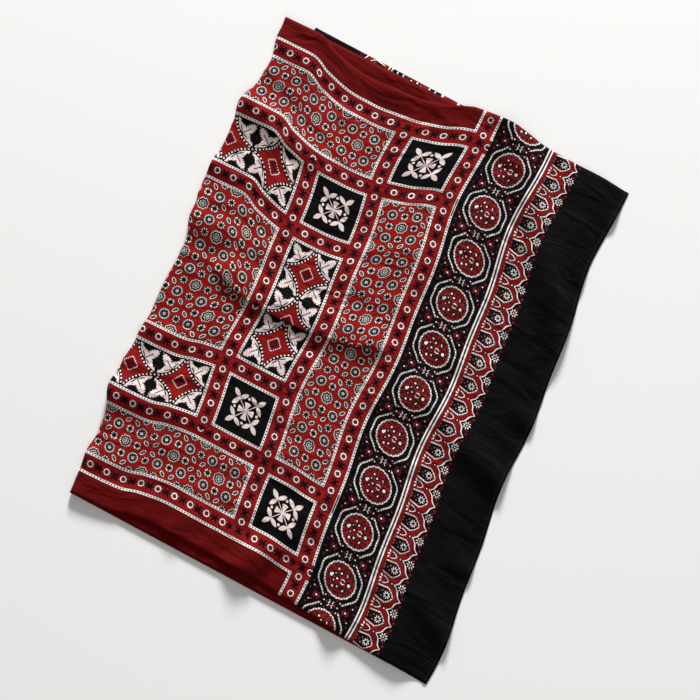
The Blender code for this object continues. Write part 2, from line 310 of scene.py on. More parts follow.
def width_section(closed):
    """One line across the cloth, as rows of place on the cloth, Y and rise over the layer.

    The pleat turns up and back over one bend, runs back by its tuck, and turns forward
    again over a second bend, so the far side of the cloth lies on the near side.
    """
    turn = math.pi * ease(closed / PLEAT_TURN_BY)
    tuck = ease((closed - PLEAT_TUCK_FROM) / (1.0 - PLEAT_TUCK_FROM))
    tuck = PLEAT_OPEN_TUCK + (PLEAT_FULL_TUCK - PLEAT_OPEN_TUCK) * tuck
    zone = 2.0 * PLEAT_BEND + tuck
    radius = PLEAT_BEND / turn if turn > 0.0 else 0.0
    bend_run = radius * math.sin(turn) if turn > 0.0 else PLEAT_BEND
    bend_rise = radius * (1.0 - math.cos(turn))
    advance = 2.0 * bend_run + tuck * math.cos(turn)
    rise = 2.0 * bend_rise + tuck * math.sin(turn)
    zone_v = PLEAT_V - zone / 2.0
    zone_y = zone_v - CLOTH_WIDTH / 2.0 + (zone - advance) * PLEAT_LOW_SHARE

    rows = []
    for step in range(LOW_SIDE_STEPS):
        v = zone_v * step / LOW_SIDE_STEPS
        rows.append((v, v - zone_v + zone_y, 0.0))

    for step in range(PLEAT_BEND_STEPS):
        part = step / PLEAT_BEND_STEPS
        y = radius * math.sin(turn * part) if turn > 0.0 else PLEAT_BEND * part
        z = radius * (1.0 - math.cos(turn * part))
        rows.append((zone_v + PLEAT_BEND * part, zone_y + y, z))

    for step in range(PLEAT_TUCK_STEPS):
        run = tuck * step / PLEAT_TUCK_STEPS
        y = zone_y + bend_run + run * math.cos(turn)
        rows.append((zone_v + PLEAT_BEND + run, y, bend_rise + run * math.sin(turn)))

    back_y = zone_y + bend_run + tuck * math.cos(turn)
    back_z = bend_rise + tuck * math.sin(turn)
    for step in range(PLEAT_BEND_STEPS):
        part = step / PLEAT_BEND_STEPS
        angle = turn * (1.0 - part)
        y = radius * (math.sin(turn) - math.sin(angle)) if turn > 0.0 else PLEAT_BEND * part
        z = radius * (math.cos(angle) - math.cos(turn))
        rows.append((zone_v + PLEAT_BEND + tuck + PLEAT_BEND * part, back_y + y, back_z + z))

    end_v = zone_v + zone
    for step in range(HIGH_SIDE_STEPS + 1):
        v = end_v + (CLOTH_WIDTH - end_v) * step / HIGH_SIDE_STEPS
        y = zone_y + advance + v - end_v
        z = rise * (1.0 - ease((y - zone_y - PLEAT_HOLD) / PLEAT_SETTLE))
        rows.append((v, y, z))
    return rows


def fold_places(y):
    """Where the folds and the hidden hem lie at one Y, so that all the cloth is used up."""
    hem_x = wavy_line(HEM_X, HEM_LINE_WAVES, y)
    left_x = wavy_line(LEFT_FOLD_X, LEFT_LINE_WAVES, y)
    right_x = wavy_line(RIGHT_FOLD_X, RIGHT_LINE_WAVES, y)
    left_radius = (top_layer_height(left_x, y, left_x, right_x) - FLOOR_LEVEL) / 2.0
    left_u = (hem_x - left_x) + math.pi * left_radius
    right_u = left_u + (right_x - left_x) + math.pi * RIGHT_FOLD_RADIUS
    return {
        "hem_x": hem_x,
        "left_x": left_x,
        "right_x": right_x,
        "left_radius": left_radius,
        "left_u": left_u,
        "right_u": right_u,
        "end_x": right_x - (CLOTH_LENGTH - right_u),
        "right_shift": SECOND_LAYER_SKEW * (right_x - left_x),
    }


def hemmed_shares(steps, run):
    """Even shares of a run from a hem, with rows at both sides of the hem's inner edge."""
    hem_shares = [0.0, HEM_WIDTH / run, (HEM_WIDTH + HEM_EDGE) / run]
    clear_of_hem = HEM_CLEARANCE * hem_shares[-1]
    even_shares = [step / steps for step in range(1, steps + 1)]
    return hem_shares + [share for share in even_shares if share > clear_of_hem]


def cloth_grid():
    """Rows of points along the cloth, each across its whole width, as place and (u, v) on it."""
    grid = []

    for share in hemmed_shares(TOP_STEPS, HEM_X - LEFT_FOLD_X):
        nominal_x = HEM_X + (LEFT_FOLD_X - HEM_X) * share
        shift = selvedge_shift(nominal_x)
        row = []
        for v, y, lift in width_section(pleat_closed(nominal_x)):
            y += shift
            hem_x = wavy_line(HEM_X, HEM_LINE_WAVES, y)
            left_x = wavy_line(LEFT_FOLD_X, LEFT_LINE_WAVES, y)
            right_x = wavy_line(RIGHT_FOLD_X, RIGHT_LINE_WAVES, y)
            x = hem_x + (left_x - hem_x) * share
            z = top_layer_height(x, y, left_x, right_x) + lift
            row.append(((x, y, z), (hem_x - x, v)))
        grid.append(row)

    fold_shift = selvedge_shift(LEFT_FOLD_X)
    lines = []
    for v, y, _ in width_section(0.0):
        lines.append((v, y + fold_shift, fold_places(y + fold_shift)))

    for step in range(1, BEND_STEPS):
        angle = math.pi * step / BEND_STEPS
        row = []
        for v, y, place in lines:
            radius = place["left_radius"]
            x = place["left_x"] - radius * math.sin(angle)
            z = FLOOR_LEVEL + radius * (1.0 + math.cos(angle))
            row.append(((x, y, z), (place["hem_x"] - place["left_x"] + radius * angle, v)))
        grid.append(row)

    for step in range(SECOND_STEPS + 1):
        share = 0.5 - 0.5 * math.cos(math.pi * step / SECOND_STEPS)
        row = []
        for v, y, place in lines:
            run = (place["right_x"] - place["left_x"]) * share
            x = place["left_x"] + run
            z = second_layer_height(x, place["right_x"], place["end_x"])
            row.append(((x, y + SECOND_LAYER_SKEW * run, z), (place["left_u"] + run, v)))
        grid.append(row)

    for step in range(1, BEND_STEPS):
        angle = math.pi * step / BEND_STEPS
        row = []
        for v, y, place in lines:
            x = place["right_x"] + RIGHT_FOLD_RADIUS * math.sin(angle)
            z = FLOOR_LEVEL + RIGHT_FOLD_RADIUS * (1.0 + math.cos(angle))
            u = place["right_u"] - RIGHT_FOLD_RADIUS * (math.pi - angle)
            row.append(((x, y + place["right_shift"], z), (u, v)))
        grid.append(row)

    middle = fold_places(0.0)
    for rest in reversed(hemmed_shares(THIRD_STEPS, middle["right_x"] - middle["end_x"])):
        share = 1.0 - rest
        row = []
        for v, y, place in lines:
            run = (place["right_x"] - place["end_x"]) * share
            shift = place["right_shift"] + THIRD_LAYER_SKEW * run
            x = place["right_x"] - run
            row.append(((x, y + shift, FLOOR_LEVEL), (place["right_u"] + run, v)))
        grid.append(row)
    return grid


grid = cloth_grid()
across = len(grid[0])
cloth_shape = bmesh.new()
bmesh.ops.create_grid(cloth_shape, x_segments=len(grid) - 1, y_segments=across - 1, size=1.0)
hem_weights = cloth_shape.verts.layers.deform.verify()
ordered = sorted(cloth_shape.verts, key=lambda point: (round(point.co.x, 6), round(point.co.y, 6)))
print_places = {}
for number, point in enumerate(ordered):
    point.co, print_places[point] = grid[number // across][number % across]
    if number // across in (0, 1, len(grid) - 2, len(grid) - 1):
        point[hem_weights][0] = 1.0
        point.co.z += (HEM_THICKNESS - THICKNESS) / 2
print_map = cloth_shape.loops.layers.uv.new("print")
picture_map = cloth_shape.loops.layers.uv.new("OFBake")
for face in cloth_shape.faces:
    face.smooth = True
    for corner in face.loops:
        u, v = print_places[corner.vert]
        corner[print_map].uv = u, v
        past_top = max(u - TOP_LAYER_RUN, 0.0)
        along = TOP_LAYER_SHARE * (u - past_top) / TOP_LAYER_RUN
        along += (1.0 - TOP_LAYER_SHARE) * past_top / (CLOTH_LENGTH - TOP_LAYER_RUN)
        corner[picture_map].uv = along, v / CLOTH_WIDTH
bmesh.ops.recalc_face_normals(cloth_shape, faces=cloth_shape.faces)
cloth_mesh = bpy.data.meshes.new("folded_ajrakh")
cloth_shape.to_mesh(cloth_mesh)
cloth_shape.free()
cloth = bpy.data.objects.new("folded_ajrakh", cloth_mesh)
bpy.context.scene.collection.objects.link(cloth)
cloth.vertex_groups.new(name="hem")
sheet = cloth.modifiers.new("thickness", "SOLIDIFY")
sheet.thickness = HEM_THICKNESS
sheet.vertex_group = "hem"
sheet.thickness_vertex_group = THICKNESS / HEM_THICKNESS
sheet.offset = 0.0
sheet.use_rim = True


# The print: blocks cut for each part of the pattern stamp a white resist, iron black and
# madder red on the cotton. The real edges are a little soft but are drawn sharp here, and the red
# is a little uneven.
# All its sizes are in millimetres on the flat cloth, measured from hem and selvedge.
MADDER_RED = "901410"
BAND_RED = "861413"
DISC_RED = "7E1518"
ARCH_RED = "7C1212"
STAR_RED = "4E0A12"
MARGIN_RED = "5E0807"
DULL_RED = "741420"
CRIMSON = "8A1026"
SPRIG_EDGE = "4A0A18"
BLACK = "09080A"
SOFT_BLACK = "1C1213"
# The stitch thread: black, painted a little lighter as painted sheen
THREAD_WITH_PAINTED_SHEEN = "2B2725"
LEAF_GREEN = "101408"
GREY = "9A938F"
CREAM = "E6D2CE"
SMALL_WHITE = "E2D6D0"
WHITE = "F0E6E2"

LENGTH_MM = CLOTH_LENGTH * MILLIMETRES
WIDTH_MM = CLOTH_WIDTH * MILLIMETRES
END_BORDER = 337.0
SIDE_MARGIN = 53.5
BAND_LINE = 24.0
BAND_HALF = 18.0
CHAIN_LINE = 21.0
CHAIN_HALF = 3.8
OUTER_EDGE = BAND_LINE - BAND_HALF
OUTER_CHAIN_EDGE = BAND_LINE - CHAIN_LINE - CHAIN_HALF
INNER_CHAIN_EDGE = BAND_LINE + CHAIN_LINE + CHAIN_HALF
FRAME_STEP = 163.0
LAST_FRAME = 2.0
PANEL_START = 48.0
TILE = 115.0
FAR = 1000.0

cotton = bpy.data.materials.new("block_printed_cotton")
cotton.use_nodes = True
tree = cotton.node_tree


def add(kind, *feeds, stops=(), **settings):
    """Add one node with its settings, and link or set its inlets in order.

    The kind may name an operation after a dot. A stop is a place from 0 to 1 and a colour.
    The answer is the node's outlet, or all of them where it has more than one.
    """
    kind, _, operation = kind.partition(".")
    node = tree.nodes.new("ShaderNode" + kind)
    if operation:
        node.operation = operation
    for name, value in settings.items():
        setattr(node, name, value)
    for inlet, feed in zip([inlet for inlet in node.inputs if inlet.enabled], feeds):
        if isinstance(feed, bpy.types.NodeSocket):
            tree.links.new(feed, inlet)
        elif feed is not None:
            inlet.default_value = feed
    if stops:
        node.color_ramp.interpolation = "CONSTANT"
        while len(node.color_ramp.elements) < len(stops):
            node.color_ramp.elements.new(1.0)
        for element, (place, colour) in zip(node.color_ramp.elements, stops):
            element.position = place
            element.color = colour
    outlets = [outlet for outlet in node.outputs if outlet.enabled]
    return outlets[0] if len(outlets) == 1 else outlets


def stamp(ground, *blocks):
    """Print blocks over the ground in turn.

    A block is a distance, its rows, and perhaps where it prints. A row is the distance at
    which a dye starts, and None leaves the ground bare.
    """
    for distance, rows, *where in blocks:
        low, high = rows[0][0], rows[-1][0]
        share = add("MapRange", distance, low, high, 0.0, 1.0)
        stops = [
            ((start - low) / (high - low), linear(dye) if dye else (0.0,) * 4)
            for start, dye in rows
        ]
        dye, cover = add("ValToRGB", share, stops=stops)
        if where:
            cover = add("Math.MULTIPLY", cover, *where)
        ground = add("Mix", cover, ground, dye, data_type="RGBA")
    return ground


def leaves(place, rows):
    """Distance out from the nearest of some pointed leaves.

    A row is the X and Y of a leaf's middle, its angle, half its length and half its width.
    """
    nearest = None
    for x, y, degrees, half_length, half_width in rows:
        bow = (half_length**2 + half_width**2) / (2.0 * half_width)
        turn = (0.0, 0.0, math.radians(degrees))
        own = add("Mapping", place, (x, y, 0.0), turn, vector_type="TEXTURE")
        own = add("VectorMath.ABSOLUTE", own)
        rim = add("VectorMath.DISTANCE", own, (0.0, half_width - bow, 0.0))
        rim = add("Math.SUBTRACT", rim, bow)
        nearest = add("Math.MINIMUM", nearest, rim) if nearest is not None else rim
    return nearest


def dots(place, rows):
    """Distance out from the nearest of some round dots, with rows of X, Y and radius."""
    nearest = None
    for x, y, dot_radius in rows:
        rim = add("VectorMath.DISTANCE", place, (x, y, 0.0))
        rim = add("Math.SUBTRACT", rim, dot_radius)
        nearest = add("Math.MINIMUM", nearest, rim) if nearest is not None else rim
    return nearest


def apart(one, other):
    """How far apart two measures are."""
    return add("Math.ABSOLUTE", add("Math.SUBTRACT", one, other))


def wave(turn, rate, cut=None):
    """The height of a wave at a turn, or where that is above a cut and so takes the dye."""
    height = add("Math.COSINE", add("Math.MULTIPLY", turn, rate))
    return height if cut is None else add("Math.GREATER_THAN", height, cut)


# Where a point lies: how deep in from the end borders and from the side margins
flat_place = add("UVMap", uv_map="print")
middle_of_cloth = (-LENGTH_MM / 2, -WIDTH_MM / 2, 0.0)
from_middle = add("VectorMath.MULTIPLY_ADD", flat_place, (MILLIMETRES,) * 3, middle_of_cloth)
from_centre = add("VectorMath.ABSOLUTE", from_middle)
border_corner = (LENGTH_MM / 2 - END_BORDER, WIDTH_MM / 2 - SIDE_MARGIN, 0.0)
depth = add("VectorMath.SUBTRACT", border_corner, from_centre)
end_depth, side_depth, _ = add("SeparateXYZ", depth)
from_mid_length, from_mid_width, _ = add("SeparateXYZ", from_centre)

# The nested frames: ring bands on lines one step apart, in from the borders on all sides
low = add("Math.MINIMUM", end_depth, side_depth)
high = add("Math.MAXIMUM", end_depth, side_depth)
low_count = add("Math.MULTIPLY_ADD", low, 1.0 / FRAME_STEP, -BAND_LINE / FRAME_STEP)
high_count = add("Math.MULTIPLY_ADD", high, 1.0 / FRAME_STEP, -BAND_LINE / FRAME_STEP - 1.0)
frame_number = add("Clamp", add("Math.FLOOR", low_count), 0.0, LAST_FRAME)
nearest_line = add("Clamp", add("Math.ROUND", low_count), 0.0, LAST_FRAME)
low_to_line = add("Math.MULTIPLY", apart(low_count, nearest_line), FRAME_STEP)
past_end = add("Math.MULTIPLY", add("Math.LESS_THAN", end_depth, OUTER_EDGE), FAR)
past_end = add("Math.MINIMUM", past_end, add("Math.SUBTRACT", BAND_LINE, end_depth))
low_to_line = add("Math.MAXIMUM", low_to_line, past_end)
high_to_line = add("Math.MULTIPLY", apart(high_count, frame_number), FRAME_STEP)
past_side = add("Math.MULTIPLY", add("Math.LESS_THAN", low, OUTER_EDGE), FAR)
past_side = add("Math.MINIMUM", past_side, add("Math.SUBTRACT", BAND_LINE, low))
high_to_line = add("Math.MAXIMUM", high_to_line, past_side)
past_last_frame = add("Math.MULTIPLY_ADD", frame_number, FAR, -FAR)
high_to_line = add("Math.MAXIMUM", high_to_line, past_last_frame)
passed_line = apart(high_count, add("Math.SUBTRACT", frame_number, 1.0))
passed_line = add("Math.MULTIPLY", passed_line, FRAME_STEP)
high_to_line = add("Math.MINIMUM", high_to_line, passed_line)
end_is_low = add("Math.LESS_THAN", end_depth, side_depth)
inner_to_line = add("Mix", end_is_low, high_to_line, low_to_line)
end_to_line = add("Math.MINIMUM", apart(end_depth, BAND_LINE), inner_to_line)
side_to_line = add("Mix", end_is_low, low_to_line, high_to_line)
to_line = add("Math.MINIMUM", end_to_line, side_to_line)
side_or_band = add("Math.MAXIMUM", side_to_line, BAND_HALF)
runs_across = add("Math.LESS_THAN", end_to_line, side_or_band)
along = add("Mix", runs_across, end_depth, side_depth)
along = add("Math.SUBTRACT", along, BAND_LINE)
in_band = add("Math.LESS_THAN", to_line, BAND_HALF)

# The panels between the bands: a black flower square at each corner, a diaper of small
# motifs or a row of leaf-and-star tiles between, and the diaper again in the middle. Tiles
# are drawn in or stretched by a few parts in a hundred, so that whole ones fill a panel.
OUTER_STRETCH = -0.5
INNER_STRETCH = 4.83
past_corner = add("Math.GREATER_THAN", high_count, frame_number)
inner_frame = add("Math.MINIMUM", frame_number, 1.0)
is_middle = add("Math.SUBTRACT", frame_number, inner_frame)
past_corner = add("Math.MULTIPLY", past_corner, add("Math.SUBTRACT", 1.0, is_middle))
is_long = add("Math.MAXIMUM", past_corner, is_middle)
low_start = add("Math.MULTIPLY_ADD", frame_number, FRAME_STEP, PANEL_START)
high_start = add("Math.MULTIPLY_ADD", past_corner, FRAME_STEP, low_start)
low_tile = add("Math.MULTIPLY_ADD", is_middle, INNER_STRETCH, TILE)
stretch_gain = INNER_STRETCH - OUTER_STRETCH
long_stretch = add("Math.MULTIPLY_ADD", inner_frame, stretch_gain, OUTER_STRETCH)
high_tile = add("Math.MULTIPLY_ADD", is_long, long_stretch, TILE)
low_share = add("Math.DIVIDE", add("Math.SUBTRACT", low, low_start), low_tile)
high_share = add("Math.DIVIDE", add("Math.SUBTRACT", high, high_start), high_tile)
quarters = add("VectorMath.SCALE", add("CombineXYZ", low_share, high_share, 0.0), 4.0)
quarters = add("VectorMath.WRAP", quarters, (2.0,) * 3, (-2.0,) * 3)
quarters = add("VectorMath.ABSOLUTE", quarters)
low_quarter, high_quarter, _ = add("SeparateXYZ", quarters)
more = add("Math.MAXIMUM", low_quarter, high_quarter)
less = add("Math.MINIMUM", low_quarter, high_quarter)

# The diaper: one triangle of its repeat, mirrored all over, with its motifs a quarter tile apart
QUARTER = TILE / 4.0
mirrored = add("Math.SUBTRACT", add("Math.ADD", more, less), 2.0)
mirrored = add("Math.MAXIMUM", mirrored, 0.0)
diaper_x = add("Math.SUBTRACT", more, mirrored)
diaper_y = add("Math.SUBTRACT", less, mirrored)
diaper_place = add("CombineXYZ", diaper_x, diaper_y, 0.0)
diaper_place = add("VectorMath.SCALE", diaper_place, QUARTER)
diaper_motif = add("VectorMath.WRAP", diaper_place, (QUARTER / 2,) * 3, (-QUARTER / 2,) * 3)

# The rings and sprigs of the bands, in turn at each half step along them
RING_STEP = 40.75
ring_phase = add("Math.MULTIPLY_ADD", runs_across, RING_STEP / 2, along)
near_ring = add("Math.PINGPONG", ring_phase, RING_STEP / 2)
near_ring = add("Math.LESS_THAN", near_ring, RING_STEP / 4)
band_along = add("Math.PINGPONG", ring_phase, RING_STEP / 4)
from_band_line = add("Mix", runs_across, side_to_line, end_to_line)
band_motif = add("CombineXYZ", band_along, from_band_line, 0.0)

# The end border: medallions, a double line and arches, counted out from the outermost chain
MEDALLION_STEP = 112.5
MEDALLION_LINE = 66.0
DOUBLE_LINE = 133.75
ARCH_START = 139.35
ARCH_STEP = MEDALLION_STEP / 2.0
INNER_FLOWER = 35.3
OUTER_FLOWER = 64.1
BETWEEN_FLOWERS = 50.0
outward = add("Math.MULTIPLY", end_depth, -1.0)
from_joint = add("Math.PINGPONG", from_mid_width, MEDALLION_STEP / 2)
from_medallion = add("Math.SUBTRACT", MEDALLION_STEP / 2, from_joint)
medallion_x = add("Math.SUBTRACT", outward, MEDALLION_LINE)
medallion = add("CombineXYZ", medallion_x, from_medallion, 0.0)
_, aside, _ = add("SeparateXYZ", from_middle)
aside = add("Math.SUBTRACT", aside, MEDALLION_STEP / 2)
aside = add("Math.WRAP", aside, MEDALLION_STEP / 2, -MEDALLION_STEP / 2)
disc_place = add("CombineXYZ", medallion_x, aside, 0.0)
medallion_aside = add("Math.ABSOLUTE", medallion_x)
joint = add("CombineXYZ", medallion_aside, from_joint, 0.0)
from_valley = add("Math.PINGPONG", from_mid_width, ARCH_STEP / 2)
from_tip = add("Math.SUBTRACT", ARCH_STEP / 2, from_valley)
arch_x = add("Math.SUBTRACT", outward, ARCH_START)
outside_arch = add("Math.GREATER_THAN", arch_x, BETWEEN_FLOWERS)
flower_x = add("Math.MULTIPLY_ADD", outside_arch, INNER_FLOWER - OUTER_FLOWER, arch_x)
flower_x = add("Math.SUBTRACT", flower_x, INNER_FLOWER)
flower_y = add("Mix", outside_arch, from_tip, from_valley)
arch_flower = add("CombineXYZ", flower_x, flower_y, 0.0)
past_double = add("Math.GREATER_THAN", outward, DOUBLE_LINE)
border_motif = add("Mix", past_double, medallion, arch_flower, data_type="VECTOR")
in_border = add("Math.LESS_THAN", end_depth, OUTER_CHAIN_EDGE)

# One round measure for whichever motif is nearest: its radius, lobes and spokes
LOBES = 8.0
TICKS = 16.0
TICK_CUT = 0.35
motif = add("Mix", in_band, diaper_motif, band_motif, data_type="VECTOR")
motif = add("Mix", in_border, motif, border_motif, data_type="VECTOR")
radius = add("VectorMath.LENGTH", motif)
motif_x, motif_y, _ = add("SeparateXYZ", motif)
angle = add("Math.ARCTAN2", motif_y, motif_x)
lobe = wave(angle, LOBES)
spoke = add("Math.SINE", add("Math.PINGPONG", angle, math.pi / LOBES))
spoke = add("Math.MULTIPLY", spoke, radius)
cross = add("Math.SINE", add("Math.PINGPONG", angle, math.pi / 4))
cross = add("Math.MULTIPLY", cross, radius)
tick = wave(angle, TICKS, TICK_CUT)

# Ring band: white scalloped rings on deep red, and between them black sprigs of bent twigs.
# The outermost side bands end in a ring that the border cuts short, and the ends of the
# bands that cross them are plain.
RING_SCALLOP = 0.6
RING_ROWS = ((0.0, CRIMSON), (2.5, BLACK), (4.8, WHITE), (7.5, BLACK), (9.0, None))
SIDE_LEAF = ((0.0, 6.0, 90.0, 3.6, 1.9),)
TWIGS = ((3.0, 3.9, 52.0, 5.2, 1.5), (4.5, 0.0, 0.0, 6.0, 1.3))
TWIG_TIP = ((5.6, 7.0, 1.5),)
CUT_RING_DEPTH = 2.8
CROSSING_DEPTH = 13.0
ring_edge = add("Math.MULTIPLY_ADD", lobe, RING_SCALLOP, radius)
short_of_end = add("Math.GREATER_THAN", end_depth, OUTER_EDGE)
is_sprig = add("Math.LESS_THAN", near_ring, short_of_end)
twig = add("Math.MINIMUM", leaves(band_motif, TWIGS), dots(band_motif, TWIG_TIP))
cut_ring = add("VectorMath.DISTANCE", depth, (CUT_RING_DEPTH, BAND_LINE, 0.0))
band_print = stamp(
    linear(BAND_RED),
    (ring_edge, RING_ROWS, near_ring),
    (leaves(band_motif, SIDE_LEAF), ((-2.0, CRIMSON), (0.0, None), (1.0, None)), is_sprig),
    (twig, ((-2.0, BLACK), (0.2, SPRIG_EDGE), (0.9, None)), is_sprig),
    (cut_ring, RING_ROWS),
)
past_first_band = add("Math.GREATER_THAN", end_depth, INNER_CHAIN_EDGE)
at_crossing = add("Math.LESS_THAN", side_depth, CROSSING_DEPTH)
at_crossing = add("Math.MULTIPLY", at_crossing, runs_across)
at_crossing = add("Math.MULTIPLY", at_crossing, past_first_band)
band_print = add("Mix", at_crossing, band_print, linear(BAND_RED), data_type="RGBA")

# Diaper: beaded wheels, lobed flowers, two kinds of pinwheel and pointed eyes on madder
WHEEL_ROWS = (
    (0.0, BLACK), (1.4, SMALL_WHITE), (3.2, BLACK),
    (9.2, SMALL_WHITE), (11.9, BLACK), (13.2, None),
)
FLOWER_ROWS = (
    (0.0, BLACK), (1.4, SMALL_WHITE), (3.0, BLACK), (6.1, SMALL_WHITE),
    (7.4, BLACK), (11.3, SMALL_WHITE), (13.6, BLACK), (14.6, None),
)
WHEEL_DOT_CUT = 0.7
HOOK_RADIUS = 4.9
WEDGE_HALF = 1.45
WEDGE_INNER = 3.4
WEDGE_OUTER = 8.4
EYE = ((47.2, 11.5, 135.0, 9.3, 5.9),)
PUPIL = ((47.2, 11.5, 1.3),)
is_wheel = add("Math.GREATER_THAN", diaper_y, 0.5)
is_flower = add("Math.LESS_THAN", diaper_x, 0.5)
is_pinwheel = add("Math.LESS_THAN", apart(diaper_x, 1.0), 0.5)
wheel_dot = add("Math.GREATER_THAN", lobe, WHEEL_DOT_CUT)
wheel_print = stamp(
    linear(MADDER_RED),
    (radius, WHEEL_ROWS),
    (radius, ((5.0, None), (6.0, GREY), (7.2, None)), wheel_dot),
    (radius, ((8.8, None), (9.3, SOFT_BLACK), (11.7, None)), tick),
)
flower_edge = add("Math.ADD", lobe, radius)
flower_print = stamp(
    linear(MADDER_RED),
    (flower_edge, FLOWER_ROWS),
    (flower_edge, ((10.0, None), (11.2, SOFT_BLACK), (13.0, None)), tick),
)
hooked = add("Math.MINIMUM", cross, add("Math.SUBTRACT", radius, HOOK_RADIUS))
hooked = add("Math.MAXIMUM", spoke, hooked)
is_hooked = add("Math.GREATER_THAN", mirrored, 0.0)
wedge = add("Mix", is_hooked, spoke, hooked)
wedge = add("Math.SUBTRACT", WEDGE_HALF, wedge)
wedge = add("Math.MAXIMUM", wedge, add("Math.SUBTRACT", WEDGE_INNER, radius))
wedge = add("Math.MAXIMUM", wedge, add("Math.SUBTRACT", radius, WEDGE_OUTER))
pinwheel_print = stamp(
    linear(MADDER_RED),
    (radius, ((0.0, BLACK), (9.7, None), (12.0, None))),
    (wedge, ((-4.0, SMALL_WHITE), (0.0, None), (1.0, None))),
)
diaper_print = linear(MADDER_RED)
for is_motif, motif_print in (
    (is_pinwheel, pinwheel_print),
    (is_wheel, wheel_print),
    (is_flower, flower_print),
):
    diaper_print = add("Mix", is_motif, diaper_print, motif_print, data_type="RGBA")
diaper_print = stamp(
    diaper_print,
    (
        leaves(diaper_place, EYE),
        ((-6.0, BLACK), (-2.1, SMALL_WHITE), (-0.5, BLACK), (0.9, None)),
    ),
    (dots(diaper_place, PUPIL), ((-2.0, WHITE), (0.0, None), (1.0, None))),
)

# Tiles are drawn in one eighth of a square, from its middle, and mirrored into the rest
SLANT = math.sqrt(0.5)
tile_x = add("Math.MULTIPLY_ADD", less, -QUARTER, 2.0 * QUARTER)
tile_y = add("Math.MULTIPLY_ADD", more, -QUARTER, 2.0 * QUARTER)
tile = add("CombineXYZ", tile_x, tile_y, 0.0)
tile_reach = add("VectorMath.LENGTH", tile)
off_diagonal = add("Math.SUBTRACT", tile_x, tile_y)
out_diagonal = add("Math.ADD", tile_x, tile_y)

# Flower square: four fans, and four stems that each end in three leaves, cream on black
STEM_HALF = 0.8
STEM_END = 43.6
FAN_SLOPE = 0.41
FAN_REACH = 19.6
SPRAY_LEAVES = ((30.2, 30.2, 45.0, 12.0, 5.4), (28.8, 12.6, -52.0, 11.8, 4.9))
SPRAY_BERRY = ((28.0, 0.0, 3.1),)
stem = add("Math.MULTIPLY_ADD", off_diagonal, SLANT, -STEM_HALF)
stem = add("Math.MAXIMUM", stem, add("Math.SUBTRACT", out_diagonal, STEM_END))
fan = add("Math.MULTIPLY_ADD", tile_x, -FAN_SLOPE, tile_y)
fan = add("Math.MAXIMUM", fan, add("Math.SUBTRACT", tile_reach, FAN_REACH))
spray = add("Math.MINIMUM", stem, fan)
spray = add("Math.MINIMUM", spray, leaves(tile, SPRAY_LEAVES))
spray = add("Math.MINIMUM", spray, dots(tile, SPRAY_BERRY))
square_print = stamp(linear(BLACK), (spray, ((-20.0, CREAM), (0.0, None), (1.0, None))))

# Leaf and star tile: a red star with hollow sides and a beaded rim, a toothed leaf at each
# corner, and in the star a small square outlined in dots, drawn fewer and larger than real
STAR_HOLLOW = (71.6, 71.6, 0.0)
BEAD_LINE = 71.9
BEAD_STEP = 5.75
BEAD_STRETCH = 0.72
SPECK_LINE = 12.0
SPECK_STEP = 3.4
STAR_LEAVES = (
    (40.0, 40.0, 45.0, 18.0, 8.6),
    (36.5, 25.5, -8.0, 9.0, 4.8),
    (40.0, 16.0, -33.0, 17.5, 5.6),
)
SIDE_VEIN = ((34.0, 20.3, -33.0, 9.5, 1.6),)
VEIN_HALF = 1.1
VEIN_END = 82.0
TOOTH_HALF = 2.7
TOOTH_DEPTH = 1.25
TOOTH_CUT = 1.7
LEAF_START = 67.5
star = add("VectorMath.DISTANCE", tile, STAR_HOLLOW)
bead_x = add("Math.WRAP", off_diagonal, BEAD_STEP, -BEAD_STEP)
bead_x = add("Math.MULTIPLY", bead_x, BEAD_STRETCH)
bead = add("CombineXYZ", bead_x, add("Math.SUBTRACT", star, BEAD_LINE), 0.0)
bead = add("VectorMath.LENGTH", bead)
speck_x = add("Math.WRAP", off_diagonal, SPECK_STEP, -SPECK_STEP)
speck_x = add("Math.MULTIPLY", speck_x, SLANT)
speck_y = add("Math.MULTIPLY_ADD", out_diagonal, SLANT, -SPECK_LINE)
speck = add("VectorMath.LENGTH", add("CombineXYZ", speck_x, speck_y, 0.0))
teeth = add("Math.PINGPONG", tile_reach, TOOTH_HALF)
teeth = add("Math.MULTIPLY_ADD", teeth, TOOTH_DEPTH, -TOOTH_CUT)
lobes = add("Math.ADD", leaves(tile, STAR_LEAVES), teeth)
vein = add("Math.MULTIPLY_ADD", off_diagonal, SLANT, -VEIN_HALF)
vein = add("Math.MAXIMUM", vein, add("Math.SUBTRACT", out_diagonal, VEIN_END))
vein = add("Math.MINIMUM", vein, leaves(tile, SIDE_VEIN))
lobes = add("Math.MAXIMUM", lobes, add("Math.MULTIPLY", vein, -1.0))
lobes = add("Math.MAXIMUM", lobes, add("Math.SUBTRACT", star, LEAF_START))
star_print = stamp(
    linear(BLACK),
    (star, ((60.0, BLACK), (74.4, BAND_RED), (110.0, BAND_RED))),
    (bead, ((0.0, WHITE), (2.0, None), (3.0, None))),
    (out_diagonal, ((0.0, STAR_RED), (12.5, None), (14.0, None))),
    (speck, ((0.0, WHITE), (1.3, None), (2.0, None))),
    (lobes, ((-8.0, CREAM), (0.0, None), (1.0, None))),
)

